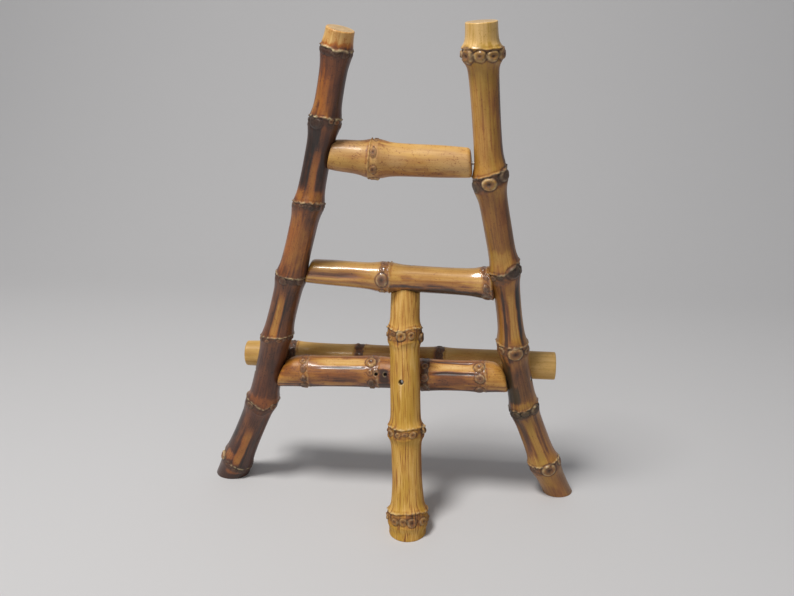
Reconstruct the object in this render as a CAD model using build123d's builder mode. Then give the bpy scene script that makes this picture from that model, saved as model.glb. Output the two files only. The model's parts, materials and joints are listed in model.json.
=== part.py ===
from build123d import *
from collections import namedtuple
from math import cos, radians, sin
import os

# Rustic display easel of root bamboo: two crooked poles that lean back, three rungs between them, a ledge across
# the display side and a rear leg, all held by small nails. Millimetres, +Z up. The display side faces +Y and the
# leg stands on the -Y side; left is -X. The origin is on the floor, in the middle of the easel's outline.

# ---------------------------------------------------------------- driving dimensions

FRAME_LEAN = 10  # degrees that the poles lean back, towards the leg
FRAME_X = 6.8  # where the frame's own zero line stands on the floor
FRAME_Y = 27.8

RING_HALF = 3  # half the height of a root ring
CREST_HALF = 1.2  # half the height of its crest
NECK_SHARE = 0.3  # how much of a ring's swell is left at its edges
SHORT_STRETCH = 18  # between two rings this close, a cane has no waist of its own
SEAT_BITE = 0.8  # how deep a pole sits in a rung's coped end
TOP_RIGHT_GAP = 1  # the top rung's right end stops short of its pole, and its nail shows in the gap

SHANK_RADIUS = 0.8
HEAD_RADIUS = 1.3
HEAD_THICKNESS = 0.7
RUNG_NAIL = 28
LEDGE_NAIL = 22
LEG_NAIL = 30
LEG_TOP_NAIL = 26
LEG_NAIL_SUNK = 2.5  # how far the leg's nail is driven below the surface
FLUSH = 0.4  # how far the other heads are set in
MOUTH = 6  # length of the open hole above a head

# A cane is a chain of points, each (across, up, out, radius): its cut ends and, between them, its root rings.
# Across and up lie in the leaning frame, and out points from the frame to the leg. Waists are the radii at the
# middle of the stretches between those points.
Cane = namedtuple("Cane", "points waists")

LEFT_POLE = Cane(
    points=[
        (-116, -9, 0, 9.6),
        (-108.7, 9.2, 0, 10.3),
        (-85.5, 61, 0.5, 10.3),
        (-73, 105.5, 0, 9.6),
        (-60.5, 146.5, -1, 9.6),
        (-47, 190.5, 1, 9),
        (-35, 237, 0, 8.8),
        (-26.5, 273, 1.8, 8.5),
        (-24.5, 281, 2, 7),
    ],
    waists=[10, 8.7, 8.4, 7.9, 7.5, 6.9, 6.8, 6.9],
)
RIGHT_POLE = Cane(
    points=[
        (104, -9, 0, 8.8),
        (91, 20.5, 0.8, 9.9),
        (76, 61, 0, 9.3),
        (67, 103.5, 0.3, 9.4),
        (60.5, 151.5, -0.8, 9.2),
        (50.5, 205, 0.8, 9.7),
        (44.5, 268.5, -1, 10.7),
        (43.7, 283.5, -1.5, 7.9),
    ],
    waists=[8.1, 7.9, 7.8, 7, 7.4, 7.2, 7.9],
)
TOP_RUNG = Cane(
    points=[(-40.5, 218, 0, 7.4), (-11, 215.3, 0, 10.8), (49.6, 213.5, 0, 7.6)],
    waists=[8.3, 8.4],
)
MIDDLE_RUNG = Cane(
    points=[
        (-60.5, 148.3, -2.5, 6.8),
        (-7.5, 145.3, -2.5, 9.1),
        (51.4, 143.6, -2.5, 9.5),
        (61.8, 143.2, -2.5, 7.2),
    ],
    waists=[7.4, 7.5, 8],
)
LOWER_RUNG = Cane(
    points=[
        (-79.5, 81.6, 2, 8.4),
        (-57.5, 82.8, 2, 9.7),
        (-16, 84.4, 2, 9.7),
        (15.5, 83.9, 2, 9.7),
        (48.7, 84.4, 2, 9.7),
        (71.5, 84.4, 2, 8),
    ],
    waists=[9.3, 9.3, 9.2, 9.1, 8.9],
)
FRONT_LEDGE = Cane(
    points=[
        (-98, 82.6, -16.4, 7.8),
        (-69.5, 82.8, -16.4, 8.9),
        (-26.5, 82.3, -16.4, 8.8),
        (22.4, 82.5, -16.4, 9),
        (67, 82.4, -16.4, 9),
        (93.7, 82.4, -16.4, 8.4),
    ],
    waists=[8.1, 8.1, 8.2, 8.3, 8.4],
)
REAR_LEG = Cane(
    points=[
        (4.6, 138.5, -3.7, 8.3),
        (4.8, 113.9, 7.4, 10.4),
        (7.2, 62.9, 30.5, 10.9),
        (9.8, 18.1, 50.8, 12.2),
        (9.9, -2, 60, 10),
    ],
    waists=[8.4, 8.6, 8.6, 10.6],
)

SPARE_HOLES = (-12.1, -6.7)  # places across the lower rung of two older nail holes
SPARE_HOLE_UP = 88
SPARE_HOLE_OUT = 10.6
SPARE_HOLE_DEPTH = 7

# ---------------------------------------------------------------- the leaning frame

FRAME = Plane(
    origin=(FRAME_X, FRAME_Y, 0),
    x_dir=(1, 0, 0),
    z_dir=(0, -cos(radians(FRAME_LEAN)), -sin(radians(FRAME_LEAN))),
)


def place(across, up, out):
    """A point of the leaning frame, as a point of the easel."""
    return FRAME.from_local_coords(Vector(across, up, out))


def heading(start, end):
    """The unit direction from one point to another."""
    return (end - start).normalized()


def stations(cane):
    """The cross sections along a cane, each (centre, direction, radius)."""
    spots = [place(*point[:3]) for point in cane.points]
    found = []
    for i, waist in enumerate(cane.waists):
        start, end = spots[i], spots[i + 1]
        run, length = heading(start, end), (end - start).length
        start_radius, end_radius = cane.points[i][3], cane.points[i + 1][3]
        if i == 0:
            found.append((start, run, start_radius))
        else:
            found.append((start + run * CREST_HALF, run, start_radius))
            found.append((start + run * RING_HALF, run, waist + NECK_SHARE * (start_radius - waist)))
        if length > SHORT_STRETCH:
            found.append((start + run * (length / 2), run, waist))
        if i == len(cane.waists) - 1:
            found.append((end, run, end_radius))
        else:
            found.append((end - run * RING_HALF, run, waist + NECK_SHARE * (end_radius - waist)))
            found.append((end - run * CREST_HALF, run, end_radius))
    return found


def sections(cane):
    """The round faces that a cane is lofted through."""
    faces = []
    for centre, direction, radius in stations(cane):
        across = direction.cross(FRAME.z_dir)
        with BuildSketch(Plane(origin=centre, x_dir=across, z_dir=direction)) as ring:
            Circle(radius)
        faces.append(ring.sketch.faces()[0])
    return faces


def axis_at(pole, up):
    """Where a pole's axis is at a height up the frame: (across, out, radius)."""
    spots = [(FRAME.to_local_coords(centre), radius) for centre, _, radius in stations(pole)]
    for (low, low_radius), (high, high_radius) in zip(spots, spots[1:]):
        if low.Y <= up <= high.Y:
            share = (up - low.Y) / (high.Y - low.Y)
            spot = low + (high - low) * share
            return spot.X, spot.Z, low_radius + (high_radius - low_radius) * share
    raise ValueError("the pole does not reach that height")


def seat_plane(pole, up, side, bite=SEAT_BITE):
    """The saw cut of a rung's end beside a pole. It runs along the pole, and side is +1 where the rung is on
    the pole's +X side."""
    across, out, radius = axis_at(pole, up)
    low, high = axis_at(pole, up - radius), axis_at(pole, up + radius)
    along = heading(place(low[0], up - radius, low[1]), place(high[0], up + radius, high[1]))
    inward = FRAME.z_dir.cross(along) * -side
    return Plane(origin=place(across, up, out) + inward * (radius - bite), z_dir=inward)


def rung_nail(pole, rung, end, side):
    """Head centre and direction of the nail that goes through a pole into a rung's end."""
    up, out = rung.points[end][1:3]
    across, _, radius = axis_at(pole, up)
    return place(across - side * (radius - FLUSH), up, out), FRAME.x_dir * side


def ledge_nail(pole):
    """Head centre and direction of the nail that goes through the ledge into a pole."""
    up, out = FRONT_LEDGE.points[1][1:3]
    across = axis_at(pole, up)[0]
    return place(across, up, out - FRONT_LEDGE.waists[1] + FLUSH), FRAME.z_dir


# ---------------------------------------------------------------- nails and the holes they are driven into

LEG_HOLE = place(4.8, 93, 26)
LEG_HOLE_AIM = heading(LEG_HOLE, place(4.8, *LOWER_RUNG.points[2][1:3]))
LEG_DOWN = heading(place(*REAR_LEG.points[0][:3]), place(*REAR_LEG.points[3][:3]))
LEG_TOP_HEAD = place(8, 145.3, -2.5) - LEG_DOWN * (MIDDLE_RUNG.waists[1] - FLUSH)

NAILS = {
    "nail_top_left": (*rung_nail(LEFT_POLE, TOP_RUNG, 0, 1), RUNG_NAIL),
    "nail_top_right": (*rung_nail(RIGHT_POLE, TOP_RUNG, -1, -1), RUNG_NAIL),
    "nail_middle_left": (*rung_nail(LEFT_POLE, MIDDLE_RUNG, 0, 1), RUNG_NAIL),
    "nail_middle_right": (*rung_nail(RIGHT_POLE, MIDDLE_RUNG, -1, -1), RUNG_NAIL),
    "nail_lower_left": (*rung_nail(LEFT_POLE, LOWER_RUNG, 0, 1), RUNG_NAIL),
    "nail_lower_right": (*rung_nail(RIGHT_POLE, LOWER_RUNG, -1, -1), RUNG_NAIL),
    "nail_ledge_left": (*ledge_nail(LEFT_POLE), LEDGE_NAIL),
    "nail_ledge_right": (*ledge_nail(RIGHT_POLE), LEDGE_NAIL),
    "nail_leg_lower": (LEG_HOLE + LEG_HOLE_AIM * LEG_NAIL_SUNK, LEG_HOLE_AIM, LEG_NAIL),
    "nail_leg_top": (LEG_TOP_HEAD, LEG_DOWN, LEG_TOP_NAIL),
}

nails = {}
nail_holes = {}
for nail_name, (head_centre, direction, length) in NAILS.items():
    head_plane = Plane(origin=head_centre, z_dir=direction)
    with BuildPart() as nail:
        with BuildSketch(head_plane):
            Circle(SHANK_RADIUS)
        extrude(amount=length)
        with BuildSketch(head_plane):
            Circle(HEAD_RADIUS)
        extrude(amount=HEAD_THICKNESS)
    nail.part.label = nail_name
    nails[nail_name] = nail.part

    with BuildPart() as nail_hole:
        add(nail.part)
        with BuildSketch(head_plane):
            Circle(HEAD_RADIUS)
        extrude(amount=-MOUTH)
    nail_holes[nail_name] = nail_hole.part


def holes(*names):
    """The holes of the named nails."""
    return [nail_holes[name] for name in names]


# ---------------------------------------------------------------- poles

with BuildPart() as left_pole:
    loft(sections(LEFT_POLE), ruled=True)
    split(bisect_by=Plane.XY, keep=Keep.TOP)
    add(holes("nail_top_left", "nail_middle_left", "nail_lower_left", "nail_ledge_left"), mode=Mode.SUBTRACT)
left_pole.part.label = "left_pole"

with BuildPart() as right_pole:
    loft(sections(RIGHT_POLE), ruled=True)
    split(bisect_by=Plane.XY, keep=Keep.TOP)
    add(holes("nail_top_right", "nail_middle_right", "nail_lower_right", "nail_ledge_right"), mode=Mode.SUBTRACT)
right_pole.part.label = "right_pole"

# ---------------------------------------------------------------- rungs, coped to the poles at both ends

with BuildPart() as top_rung:
    loft(sections(TOP_RUNG), ruled=True)
    split(bisect_by=seat_plane(LEFT_POLE, TOP_RUNG.points[0][1], 1), keep=Keep.TOP)
    split(bisect_by=seat_plane(RIGHT_POLE, TOP_RUNG.points[-1][1], -1, -TOP_RIGHT_GAP), keep=Keep.TOP)
    add([left_pole.part, right_pole.part], mode=Mode.SUBTRACT)
    add(holes("nail_top_left", "nail_top_right"), mode=Mode.SUBTRACT)
top_rung.part.label = "top_rung"

with BuildPart() as middle_rung:
    loft(sections(MIDDLE_RUNG), ruled=True)
    split(bisect_by=seat_plane(LEFT_POLE, MIDDLE_RUNG.points[0][1], 1), keep=Keep.TOP)
    split(bisect_by=seat_plane(RIGHT_POLE, MIDDLE_RUNG.points[-1][1], -1), keep=Keep.TOP)
    add([left_pole.part, right_pole.part], mode=Mode.SUBTRACT)
    add(holes("nail_middle_left", "nail_middle_right", "nail_leg_top"), mode=Mode.SUBTRACT)
middle_rung.part.label = "middle_rung"

with BuildPart() as lower_rung:
    loft(sections(LOWER_RUNG), ruled=True)
    split(bisect_by=seat_plane(LEFT_POLE, LOWER_RUNG.points[0][1], 1), keep=Keep.TOP)
    split(bisect_by=seat_plane(RIGHT_POLE, LOWER_RUNG.points[-1][1], -1), keep=Keep.TOP)
    add([left_pole.part, right_pole.part], mode=Mode.SUBTRACT)
    add(holes("nail_lower_left", "nail_lower_right", "nail_leg_lower"), mode=Mode.SUBTRACT)
    for across in SPARE_HOLES:
        mouth = place(across, SPARE_HOLE_UP, SPARE_HOLE_OUT)
        with BuildSketch(Plane(origin=mouth, z_dir=LEG_HOLE_AIM)):
            Circle(SHANK_RADIUS)
        extrude(amount=SPARE_HOLE_DEPTH, both=True, mode=Mode.SUBTRACT)
lower_rung.part.label = "lower_rung"

# ---------------------------------------------------------------- ledge, notched where it crosses the poles

with BuildPart() as front_ledge:
    loft(sections(FRONT_LEDGE), ruled=True)
    add([left_pole.part, right_pole.part], mode=Mode.SUBTRACT)
    add(holes("nail_ledge_left", "nail_ledge_right"), mode=Mode.SUBTRACT)
front_ledge.part.label = "front_ledge"

# ---------------------------------------------------------------- leg, coped under one rung and notched over another

with BuildPart() as rear_leg:
    loft(sections(REAR_LEG), ruled=True)
    split(bisect_by=Plane.XY, keep=Keep.TOP)
    add([middle_rung.part, lower_rung.part], mode=Mode.SUBTRACT)
    add(holes("nail_leg_lower", "nail_leg_top"), mode=Mode.SUBTRACT)
rear_leg.part.label = "rear_leg"

# ---------------------------------------------------------------- files

canes = [left_pole, right_pole, top_rung, middle_rung, lower_rung, front_ledge, rear_leg]
os.makedirs("parts", exist_ok=True)
for piece in [cane.part for cane in canes] + list(nails.values()):
    export_step(piece, f"parts/{piece.label}.step")
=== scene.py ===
import json
import math
from collections import namedtuple

import bpy
import numpy as np
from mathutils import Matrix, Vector


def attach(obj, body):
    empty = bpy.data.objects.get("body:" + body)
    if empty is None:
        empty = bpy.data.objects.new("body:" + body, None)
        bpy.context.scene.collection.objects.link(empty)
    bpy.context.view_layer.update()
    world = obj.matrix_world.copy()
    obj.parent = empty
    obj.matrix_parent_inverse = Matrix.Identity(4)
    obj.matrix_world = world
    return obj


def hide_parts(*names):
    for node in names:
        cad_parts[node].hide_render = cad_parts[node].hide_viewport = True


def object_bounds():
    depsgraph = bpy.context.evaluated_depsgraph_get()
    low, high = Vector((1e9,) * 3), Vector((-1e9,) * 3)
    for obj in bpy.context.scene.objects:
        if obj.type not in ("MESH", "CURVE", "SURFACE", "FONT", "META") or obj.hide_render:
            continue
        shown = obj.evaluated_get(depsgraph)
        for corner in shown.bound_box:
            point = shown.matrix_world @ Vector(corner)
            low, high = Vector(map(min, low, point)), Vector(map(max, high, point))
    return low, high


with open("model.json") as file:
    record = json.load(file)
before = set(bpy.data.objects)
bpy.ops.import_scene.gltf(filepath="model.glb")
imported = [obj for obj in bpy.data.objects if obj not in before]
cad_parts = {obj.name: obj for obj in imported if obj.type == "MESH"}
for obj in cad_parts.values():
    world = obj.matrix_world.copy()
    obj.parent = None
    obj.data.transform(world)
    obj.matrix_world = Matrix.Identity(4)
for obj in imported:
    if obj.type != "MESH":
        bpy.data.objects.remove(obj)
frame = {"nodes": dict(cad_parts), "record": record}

# A rustic display easel of root bamboo, seen from its leg's side. The CAD canes are round bars with a
# swelling at each root ring. Here each cane becomes a fine mesh with its lips, root scars, buds, grooves,
# sawn ends and nail holes, and a toasted bamboo material. The nails keep their CAD meshes. Canes are worked
# out in millimetres and turned into metres when their meshes are made.

CAD_LOW, CAD_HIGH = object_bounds()
MM = 0.001
TURN = 2 * math.pi

# ---- the leaning frame, and the canes in it

LEAN = math.radians(10)
LEFT_FOOT = next(mount["pos_m"] for mount in frame["record"]["mounts"] if mount["name"] == "left_foot")
LEFT_FOOT_ACROSS = -112.5  # where the left pole meets the floor, from the frame's zero line
OUT = np.array([0, -1, 0])  # the way to the leg's side


def place(across, up, out):
    """A point of the leaning frame, in millimetres of the easel's own frame."""
    return np.array([
        LEFT_FOOT[0] / MM - LEFT_FOOT_ACROSS + across,
        LEFT_FOOT[1] / MM - up * math.sin(LEAN) - out * math.cos(LEAN),
        up * math.cos(LEAN) - out * math.sin(LEAN),
    ])


# The same points as the CAD canes have, the leg's from its foot up: (across, up, out, radius) at the cut
# ends and at the root rings between them, and the radii half way along the stretches between those.
Cane = namedtuple("Cane", "points waists")
CANES = {
    "left_pole": Cane([
        (-116, -9, 0, 9.6), (-108.7, 9.2, 0, 10.3), (-85.5, 61, 0.5, 10.3), (-73, 105.5, 0, 9.6),
        (-60.5, 146.5, -1, 9.6), (-47, 190.5, 1, 9), (-35, 237, 0, 8.8), (-26.5, 273, 1.8, 8.5),
        (-24.5, 281, 2, 7),
    ], [10, 8.7, 8.4, 7.9, 7.5, 6.9, 6.8, 6.9]),
    "right_pole": Cane([
        (104, -9, 0, 8.8), (91, 20.5, 0.8, 9.9), (76, 61, 0, 9.3), (67, 103.5, 0.3, 9.4),
        (60.5, 151.5, -0.8, 9.2), (50.5, 205, 0.8, 9.7), (44.5, 268.5, -1, 10.7), (43.7, 283.5, -1.5, 7.9),
    ], [8.1, 7.9, 7.8, 7, 7.4, 7.2, 7.9]),
    "top_rung": Cane([
        (-40.5, 218, 0, 7.4), (-11, 215.3, 0, 10.8), (49.6, 213.5, 0, 7.6),
    ], [8.3, 8.4]),
    "middle_rung": Cane([
        (-60.5, 148.3, -2.5, 6.8), (-7.5, 145.3, -2.5, 9.1), (51.4, 143.6, -2.5, 9.5),
        (61.8, 143.2, -2.5, 7.2),
    ], [7.4, 7.5, 8]),
    "lower_rung": Cane([
        (-79.5, 81.6, 2, 8.4), (-57.5, 82.8, 2, 9.7), (-16, 84.4, 2, 9.7), (15.5, 83.9, 2, 9.7),
        (48.7, 84.4, 2, 9.7), (71.5, 84.4, 2, 8),
    ], [9.3, 9.3, 9.2, 9.1, 8.9]),
    "front_ledge": Cane([
        (-98, 82.6, -16.4, 7.8), (-69.5, 82.8, -16.4, 8.9), (-26.5, 82.3, -16.4, 8.8),
        (22.4, 82.5, -16.4, 9), (67, 82.4, -16.4, 9), (93.7, 82.4, -16.4, 8.4),
    ], [8.1, 8.1, 8.2, 8.3, 8.4]),
    "rear_leg": Cane([
        (9.9, -2, 60, 10), (9.8, 18.1, 50.8, 12.2), (7.2, 62.9, 30.5, 10.9), (4.8, 113.9, 7.4, 10.4),
        (4.6, 138.5, -3.7, 8.3),
    ], [10.6, 8.6, 8.6, 8.4]),
}

# ---- what each cane looks like
# Places along a cane are millimetres from its first point. Turns are degrees round it from the leg's side:
# on the poles and the leg positive turns go towards +X, and on the rungs and the ledge they go towards the
# floor. Toast is how brown the cane is: 0 is pale straw, 1 is charred. Some patches and grooves also use it
# for painted shade and painted highlight, as noted where they are listed.

# A ring is a swollen band of root scars that ends in a lip. Lip is how far the lip is past the CAD ring's
# middle, and length is the band's. Tilt is how far the lip leans along the cane towards tilt_turn, and sag
# pulls it back in a V. Band is the band's toast, rim how pale its lip is, knobs how lumpy it is, and reach
# how far the cane flares from it.
Ring = namedtuple("Ring", "lip length tilt tilt_turn sag sag_turn band rim scars knobs reach",
                  defaults=(3, 6, 0, 0, 0, 0, 0.75, 0.8, (), 0.2, 4))
# The scar of a root or a bud: its turn, how far before the lip its middle is, its width, and how far it
# stands out.
Scar = namedtuple("Scar", "turn before width bump toast", defaults=(0.45, 0.6))
# A groove that a bud has pressed into the cane. It fades out from its start to its end.
Groove = namedtuple("Groove", "start end turn width toast depth", defaults=(0.5,))
# A patch has another toast. Its length is in millimetres and its width in degrees. The long dark patches
# along the rungs' undersides are partly their darker colour and partly painted shade, and the one down the
# leg's right side is painted shade.
Patch = namedtuple("Patch", "at turn length width toast")
# One side of an end worn round: the end (0 is the first, 1 the last), the turn, how far along and how far
# in.
Wear = namedtuple("Wear", "end turn length depth")

# Scars, grooves and patches are bare rows here. Heading is the end that the lips face: 1 is the cane's last
# point, -1 its first. Fillets are how far the edges of its two ends are worn round.
Looks = namedtuple("Looks", "toast heading fillets seed rings grooves patches wears", defaults=((),))
LOOKS = {
    "left_pole": Looks(0.7, 1, (0.3, 0.7), 11, rings=[
        Ring(5.2, 5, 3.2, -125, band=0.95, scars=((-62, 2.4, 6, 1.2, 0.5), (10, 3, 3.5, 0.3, 0.9))),
        Ring(0.6, 5.5, 2, 95, 3.2, 22, band=0.85, rim=0.7, scars=((-30, 3, 4.5, 0.4, 0.8), (60, 3, 4))),
        Ring(1.8, 4, 3.5, 67, band=0.8, rim=1, scars=((-20, 2.2, 2.6, 0.5), (20, 2, 2.4, 0.5))),
        Ring(1.4, 5, 1.3, 90, band=0.9, rim=0.9, scars=(
            (-16, 2.8, 4.6, 0.5, 0.85), (48, 2.6, 4, 0.5, 0.8),
        )),
        Ring(0.6, 4.5, 2.7, 32, band=0.75, rim=0.7, scars=(
            (22, 2.6, 3.6, 0.3, 0.95), (52, 2.6, 3, 0.3, 0.95),
        )),
        Ring(0.4, 6, 2.1, 23, band=0.9, rim=1, scars=(
            (-24, 3.8, 6.6, 0.4, 0.99), (32, 1.6, 2.6, 0.6), (55, 2, 3, 0.5),
        )),
        Ring(-0.4, 4, 0.3, -40, band=0.9, rim=1, scars=((8, 1.9, 3.4, 0.6, 0.9), (42, 2, 3.4, 0.6, 0.9))),
    ], grooves=[
        (216, 249, 2, 4.2, 0.5, 0.6), (125, 161, -8, 4.4, 0.38, 0.6), (24, 62, 4, 5.2, 0.43, 0.5),
    ], patches=[
        (276, 72, 44, 84, 0.88), (266, -24, 30, 80, 0.44), (250, -24, 16, 70, 0.99), (303, 0, 12, 360, 0.1),
        (238, 56, 46, 78, 0.94), (241, -50, 42, 72, 0.92), (217, 0, 9, 170, 0.46), (188, 88, 48, 60, 0.8),
        (188, -10, 40, 130, 0.47), (145, 52, 40, 90, 0.74), (101, 0, 42, 360, 0.8), (79, 10, 6, 200, 0.58),
        (48, -62, 46, 56, 0.94), (46, 46, 40, 26, 0.86), (27, 0, 34, 300, 0.86), (28, 10, 26, 18, 0.52),
        (29, -30, 7, 60, 0.5), (12, 0, 26, 360, 0.98), (17, 12, 5, 60, 0.66),
    ]),
    "right_pole": Looks(0.47, 1, (0.3, 0.5), 23, rings=[
        Ring(5.5, 7, 1, -60, band=0.7, rim=0.9, scars=(
            (12, 3.8, 7.6, 0.9, 0.42), (78, 2.5, 5.5, 0.6), (-45, 1.5, 3, 0.5),
        )),
        Ring(5, 6, 1, 60, 1, -10, band=0.92, rim=0.6, scars=(
            (-34, 3, 4.4, 0.9, 0.95), (2, 3, 4.4, 0.9, 0.95), (48, 3.4, 6.4, 1, 0.9),
        )),
        Ring(5, 8, 1.5, -90, band=0.6, rim=0.6, scars=(
            (8, 4.2, 7.6, 1, 0.4), (-48, 3.6, 3.6, 0.4), (62, 4, 4.2),
        )),
        Ring(4, 8, 2.6, 75, 2, -5, band=0.7, rim=0.5, scars=(
            (36, 3.6, 7.6, 0.8, 0.95), (76, 5.5, 5, 0.8, 0.9), (-22, 3, 3.6, 0.4, 0.95),
        )),
        Ring(5, 8.5, 2, 90, band=0.75, rim=0.5, scars=(
            (-4, 4.4, 6.6, 1.1, 0.25), (60, 3.4, 7, 1.1, 0.84), (-62, 4.6, 5.4, 0.7, 0.9),
        )),
        Ring(3.4, 6.5, 0.6, -90, band=0.5, rim=0.15, knobs=0.5, reach=2, scars=(
            (-88, 3.4, 5, 1, 0.5), (-50, 3.8, 6, 1, 0.5), (-7, 3.4, 5, 0.9, 0.45), (31, 3.4, 5.4, 1, 0.42),
            (74, 3.2, 5.6, 1.1, 0.5), (118, 3.4, 4.6, 0.8, 0.55),
        )),
    ], grooves=[
        (127, 165, 16, 5.2, 0.3, 0.4), (40, 75, 2, 4.4, 0.3, 0.4),
    ], patches=[
        (250, -30, 80, 130, 0.3), (262, -14, 44, 7, 0.5), (262, 16, 44, 7, 0.54), (254, 84, 70, 44, 0.76),
        (300, 86, 22, 36, 0.7), (297, 0, 22, 360, 0.04), (198, -10, 44, 110, 0.54), (195, 56, 52, 40, 0.66),
        (195, 96, 52, 30, 0.88), (177, -10, 12, 130, 0.3), (145, -22, 44, 16, 0.88),
        (148, 50, 46, 28, 0.94), (98, 25, 34, 90, 0.68), (95, -52, 48, 96, 0.97), (82, 0, 6, 120, 0.46),
        (60, -34, 26, 26, 0.76), (60, 36, 34, 16, 0.7), (40, -30, 10, 120, 0.3), (20, 50, 20, 50, 0.56),
        (8, 0, 30, 360, 0.56),
    ]),
    "top_rung": Looks(0.27, -1, (1.1, 1.8), 31, rings=[
        Ring(1.8, 5.5, band=0.3, rim=0.2, scars=(
            (-26, 2.8, 4.2, 0.6, 0.5), (25, 2.8, 4, 0.6, 0.5), (80, 3, 5, 0.8, 0.4), (-82, 3.5, 4, 0.7),
        )),
    ], grooves=[], patches=[
        # the dark patch along the underside (turn 84) is partly the rung's darker colour and partly painted
        # shade
        (34, -84, 18, 60, 0.6), (45, 84, 100, 110, 0.5), (21, 4, 6, 30, 0.36), (14, -60, 18, 60, 0.34),
        (62, -70, 60, 50, 0.16), (80, 0, 14, 200, 0.2),
    ]),
    "middle_rung": Looks(0.23, 1, (1, 1.4), 43, rings=[
        Ring(4, 6.5, band=0.5, rim=0.35, scars=(
            (-74, 4.4, 2.6, 0.4), (-44, 4.2, 3, 0.5), (-2, 4.4, 6.6, 0.5, 0.55), (60, 4.2, 5, 0.4),
        )),
        Ring(2.4, 5.5, band=0.6, rim=0.4, scars=(
            (-72, 3, 3, 0.5), (-38, 2.4, 3.4, 0.5), (8, 3.2, 4.4, 0.7, 0.74), (50, 3, 4.6, 0.8, 0.8),
        )),
    ], grooves=[
        # both grooves are darker than the rung along the bottom of the crease: painted shade there
        (1, 52, -2, 5.2, 0.34, 1.1), (1, 50, -6, 2.4, 0.68, 0.3),
    ], patches=[
        # the dark patches along the underside (turns 66 and 80) are partly the rung's darker colour and
        # partly painted shade
        (82, 6, 46, 50, 0.44), (84, -50, 50, 60, 0.24), (66, -14, 8, 24, 0.46), (84, 66, 74, 110, 0.94),
        (30, 80, 60, 90, 0.66), (60, -60, 8, 120, 0.2), (30, 40, 36, 30, 0.3),
    ], wears=[Wear(0, -70, 3, 2.4)]),
    "lower_rung": Looks(0.44, 1, (1.6, 1.6), 57, rings=[
        Ring(4.2, 5, band=0.5, rim=0.35, scars=(
            (-58, 3, 3.6, 0.7, 0.4), (-27, 2.7, 4.2, 0.8, 0.66), (8, 2.7, 4.6, 0.9, 0.8),
            (42, 3, 4.4, 0.9, 0.78), (74, 3.2, 4, 0.7),
        )),
        Ring(5, 7, band=0.6, rim=0.5, scars=(
            (-58, 4.6, 6.2, 0.9, 0.22), (-18, 5, 3.4, 0.5, 0.5), (-22, 1.8, 3, 0.5, 0.6),
            (24, 4, 5, 0.9, 0.86), (60, 4, 4.6, 0.8, 0.8),
        )),
        Ring(3.4, 5.5, band=0.8, rim=0.3, scars=(
            (-52, 2.6, 4, 0.7, 0.5), (-12, 2.6, 4.6, 0.9, 0.7), (28, 2.8, 4.4, 0.9, 0.8),
        )),
        Ring(3.4, 6.5, band=0.5, rim=0.5, scars=(
            (-56, 4, 6, 0.9, 0.3), (-12, 3.2, 5, 0.8, 0.6), (38, 3.4, 5.4, 1, 0.86),
        )),
    ], grooves=[
        # the broad pale grooves (toast 0.12 and 0.08) along the rung's top are partly paler cane and partly a
        # painted highlight; the narrow dark ones paint the shade down in their creases
        (62, 24, -58, 6, 0.12, 0.8), (61, 26, -36, 1.2, 0.9, 0.3), (127, 94, -54, 6.2, 0.08, 0.8),
        (127, 94, -26, 1.3, 0.95, 0.4), (125, 96, -76, 1.1, 0.8, 0.3),
    ], patches=[
        # the long dark patch along the underside (turn 72) is partly the rung's darker colour and partly
        # painted shade
        (10, 0, 18, 360, 0.32), (14, -24, 12, 50, 0.56), (44, -2, 26, 60, 0.62), (72, 0, 6, 70, 0.92),
        (112, -6, 26, 50, 0.64), (141, 0, 22, 360, 0.3), (76, 72, 160, 100, 0.88), (46, 34, 30, 26, 0.36),
    ], wears=[Wear(0, -75, 9, 5.5), Wear(1, -75, 7, 5.5)]),
    "front_ledge": Looks(0.14, 1, (0.7, 0.7), 61, rings=[Ring(4, 6.5, band=0.75, rim=0.3)] * 4, grooves=[],
        patches=[
        (50, -40, 34, 200, 0.17), (96, -40, 40, 220, 0.34), (142, -40, 34, 200, 0.26),
    ]),
    "rear_leg": Looks(0.235, 1, (0.4, 1), 79, rings=[
        Ring(4.2, 7.5, band=0.5, rim=1, knobs=0.5, reach=2, scars=(
            (-80, 4, 5, 0.8, 0.5), (-34, 4.4, 4, 0.7, 0.55), (-8, 4, 3.4, 0.5, 0.5),
            (18, 4.4, 4.6, 0.7, 0.6), (54, 4.4, 4, 0.6, 0.5),
        )),
        Ring(4, 7, sag=1.4, sag_turn=-4, band=0.48, rim=1, knobs=0.5, reach=2, scars=(
            (82, 2.4, 5, 1.4, 0.3), (-50, 4, 3.6, 0.6, 0.55), (26, 4.4, 3.8, 0.6, 0.55),
            (-20, 4.4, 3.4, 0.5, 0.5), (2, 4.2, 3.2, 0.5, 0.6),
        )),
        Ring(4.4, 8.5, sag=1.8, sag_turn=-16, band=0.52, rim=1, knobs=0.5, reach=2, scars=(
            (-78, 4.2, 3.4, 0.8, 0.6), (-50, 5.6, 2.6, 0.5, 0.5), (-36, 3.4, 3, 0.5, 0.6),
            (-6, 4.8, 4.8, 0.8, 0.4), (27, 4.2, 4, 0.7, 0.5), (84, 5.8, 6, 1.1, 0.7),
        )),
    ], grooves=[], patches=[
        # the dark patch down the leg's whole right side (turn 88) is painted shade, on the side away from the
        # key light
        (75, 88, 170, 44, 0.4), (6, 0, 14, 360, 0.34), (22, 84, 14, 40, 0.46),
    ]),
}

# ---- the middle line of a cane

SPINE_STEP = 0.5
BEND_REACH = 8  # how many steps each side a corner of the line is rounded over
FLOOR_STEPS = 60  # a cane's line comes up through the floor within this many steps


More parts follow.
